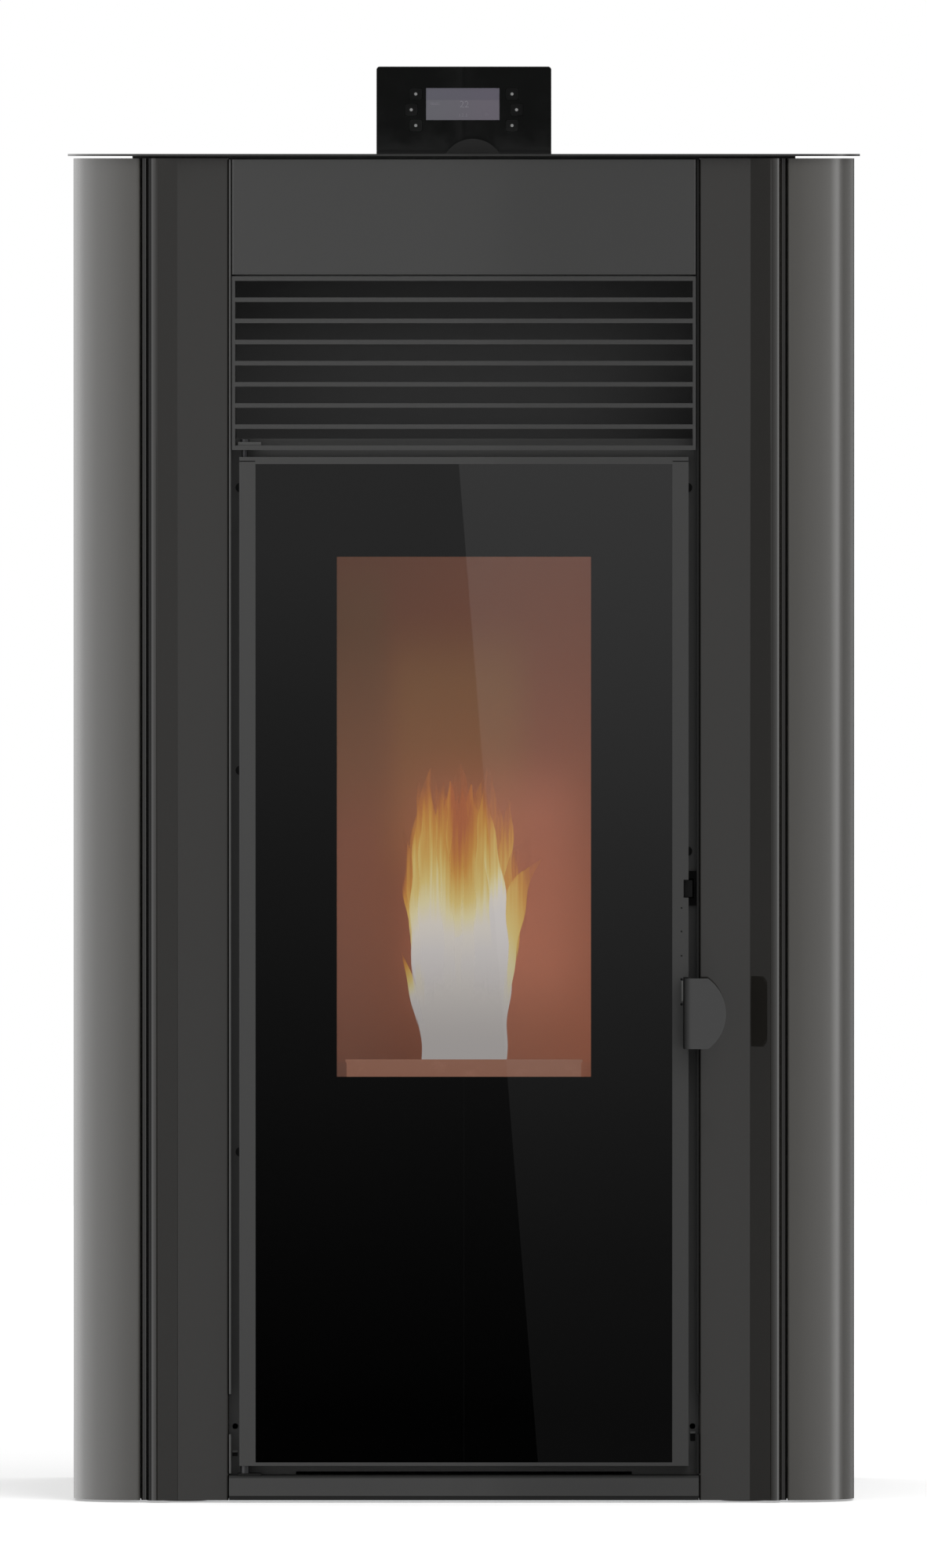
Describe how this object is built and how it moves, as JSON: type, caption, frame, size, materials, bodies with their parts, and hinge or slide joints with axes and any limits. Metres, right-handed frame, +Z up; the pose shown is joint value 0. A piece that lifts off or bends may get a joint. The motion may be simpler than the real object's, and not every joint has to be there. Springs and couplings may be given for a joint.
{
  "type": "pellet stove",
  "caption": "Free-standing warm-air pellet stove: glazed fire door, air grille, hopper with lid, fold-down control panel, auger feed, fans, flue spigot and levelling feet.",
  "frame": {"origin": "bottom centre of the whole stove, on the floor", "axes": "+Z up, -Y towards the viewer in front of the fire door, +X to that viewer's right"},
  "size_m": [0.708, 0.734, 1.2838],
  "materials": {
    "cover_paint": "smooth anthracite coating, satin",
    "front_paint": "matte anthracite coating",
    "chassis_paint": "matte dark coating",
    "zinc_sheet": "zinc-plated sheet",
    "hardware": "zinc-plated steel",
    "firebox_steel": "heat-proof coating with soot",
    "fire_clay": "pressed fire-clay board",
    "cast_iron": "raw casting",
    "printed_glass": "ceramic glass with a black printed border",
    "rope_seal": "braided glass-fibre rope",
    "fan_casting": "die-cast",
    "motor_black": "black coating",
    "circuit_board": "green board",
    "black_plastic": "fine-grained",
    "gloss_black": "glossy front foil",
    "display_glass": "grey display",
    "foot_rubber": "matte"
  },
  "bodies": {
    "cabinet": {"base_plate": "zinc_sheet", "front_frame": "chassis_paint", "side_frames": "zinc_sheet", "back_panel": "cover_paint", "top_plate": "cover_paint", "cover_screws": "hardware", "side_panel_right": "cover_paint", "side_panel_left": "cover_paint", "pilaster_right": "cover_paint", "pilaster_left": "cover_paint", "upper_front_panel": "front_paint", "air_grille": "front_paint", "plinth_panel": "front_paint", "hinge_brackets": "chassis_paint", "hinge_pins": "hardware", "latch_keeper": "hardware", "firebox_shell": "firebox_steel", "firebox_lining": "fire_clay", "baffle_plate": "firebox_steel", "burn_pot_support": "firebox_steel", "ash_drawer": "firebox_steel", "igniter": "hardware", "exhaust_fan_housing": "fan_casting", "exhaust_fan_motor": "motor_black", "flue_spigot": "motor_black", "air_intake_pipe": "zinc_sheet", "hopper": "zinc_sheet", "auger_tube": "zinc_sheet", "auger_gearmotor": "motor_black", "room_fan_housing": "zinc_sheet", "room_fan_motor": "motor_black", "warm_air_duct": "chassis_paint", "control_board": "circuit_board", "power_inlet": "black_plastic", "panel_bracket": "front_paint"},
    "door": {"door_frame": "front_paint", "door_glass": "printed_glass", "door_seals": "rope_seal"},
    "handle": {"door_handle": "front_paint", "latch_hook": "hardware"},
    "lid": {"hopper_lid": "cover_paint"},
    "panel": {"panel_housing": "black_plastic", "panel_fascia": "gloss_black", "panel_board": "circuit_board", "display_screen": "display_glass"},
    "switch": {"power_switch": "gloss_black"},
    "pot": {"burn_pot": "cast_iron"},
    "screw": {"auger_screw": "hardware"},
    "impeller": {"exhaust_impeller": "hardware"},
    "rotor": {"room_fan_rotor": "zinc_sheet"},
    "key_button_1": {"key_1": "gloss_black"},
    "key_button_2": {"key_2": "gloss_black"},
    "key_button_3": {"key_3": "gloss_black"},
    "key_button_4": {"key_4": "gloss_black"},
    "key_button_5": {"key_5": "gloss_black"},
    "key_button_6": {"key_6": "gloss_black"},
    "levelling_front_left": {"foot_front_left": "foot_rubber"},
    "levelling_front_right": {"foot_front_right": "foot_rubber"},
    "levelling_rear_left": {"foot_rear_left": "foot_rubber"},
    "levelling_rear_right": {"foot_rear_right": "foot_rubber"}
  },
  "joints": [
    {"name": "door_swing", "type": "hinge", "parent": "cabinet", "child": "door", "pos_m": [-0.1955, -0.325, 0.48], "axis": [0, 0, -1], "range_deg": [0, 105]},
    {"name": "handle_turn", "type": "hinge", "parent": "door", "child": "handle", "pos_m": [0.194, -0.326, 0.48], "axis": [0, 0, 1], "range_deg": [0, 15]},
    {"name": "lid_swing", "type": "hinge", "parent": "cabinet", "child": "lid", "pos_m": [0, 0.209, 1.2], "axis": [-1, 0, 0], "range_deg": [0, 80]},
    {"name": "panel_fold", "type": "hinge", "parent": "cabinet", "child": "panel", "pos_m": [0, 0.253, 1.212], "axis": [-1, 0, 0], "range_deg": [0, 85]},
    {"name": "key_1_press", "type": "slide", "parent": "panel", "child": "key_button_1", "axis": [0, 1, 0], "range_m": [0, 0.0007], "stiffness_N_per_m": 1000},
    {"name": "key_2_press", "type": "slide", "parent": "panel", "child": "key_button_2", "axis": [0, 1, 0], "range_m": [0, 0.0007], "stiffness_N_per_m": 1000},
    {"name": "key_3_press", "type": "slide", "parent": "panel", "child": "key_button_3", "axis": [0, 1, 0], "range_m": [0, 0.0007], "stiffness_N_per_m": 1000},
    {"name": "key_4_press", "type": "slide", "parent": "panel", "child": "key_button_4", "axis": [0, 1, 0], "range_m": [0, 0.0007], "stiffness_N_per_m": 1000},
    {"name": "key_5_press", "type": "slide", "parent": "panel", "child": "key_button_5", "axis": [0, 1, 0], "range_m": [0, 0.0007], "stiffness_N_per_m": 1000},
    {"name": "key_6_press", "type": "slide", "parent": "panel", "child": "key_button_6", "axis": [0, 1, 0], "range_m": [0, 0.0007], "stiffness_N_per_m": 1000},
    {"name": "switch_tilt", "type": "hinge", "parent": "cabinet", "child": "switch", "pos_m": [-0.1635, 0.307, 0.12], "axis": [-1, 0, 0], "range_deg": [0, 20]},
    {"name": "pot_lift", "type": "slide", "parent": "cabinet", "child": "pot", "axis": [0, 0, 1], "range_m": [0, 0.04]},
    {"name": "screw_turn", "type": "hinge", "parent": "cabinet", "child": "screw", "pos_m": [0, 0.047, 0.6], "axis": [0, 1, 0], "continuous": true},
    {"name": "impeller_turn", "type": "hinge", "parent": "cabinet", "child": "impeller", "pos_m": [-0.03, 0.002, 0.17], "axis": [0, 1, 0], "continuous": true},
    {"name": "rotor_turn", "type": "hinge", "parent": "cabinet", "child": "rotor", "pos_m": [-0.03, 0.167, 0.078], "axis": [1, 0, 0], "continuous": true},
    {"name": "foot_front_left_turn", "type": "hinge", "parent": "cabinet", "child": "levelling_front_left", "pos_m": [-0.25, -0.273, 0.004], "axis": [0, 0, 1], "continuous": true},
    {"name": "foot_front_right_turn", "type": "hinge", "parent": "cabinet", "child": "levelling_front_right", "pos_m": [0.25, -0.273, 0.004], "axis": [0, 0, 1], "continuous": true},
    {"name": "foot_rear_left_turn", "type": "hinge", "parent": "cabinet", "child": "levelling_rear_left", "pos_m": [-0.25, 0.267, 0.004], "axis": [0, 0, 1], "continuous": true},
    {"name": "foot_rear_right_turn", "type": "hinge", "parent": "cabinet", "child": "levelling_rear_right", "pos_m": [0.25, 0.267, 0.004], "axis": [0, 0, 1], "continuous": true}
  ]
}
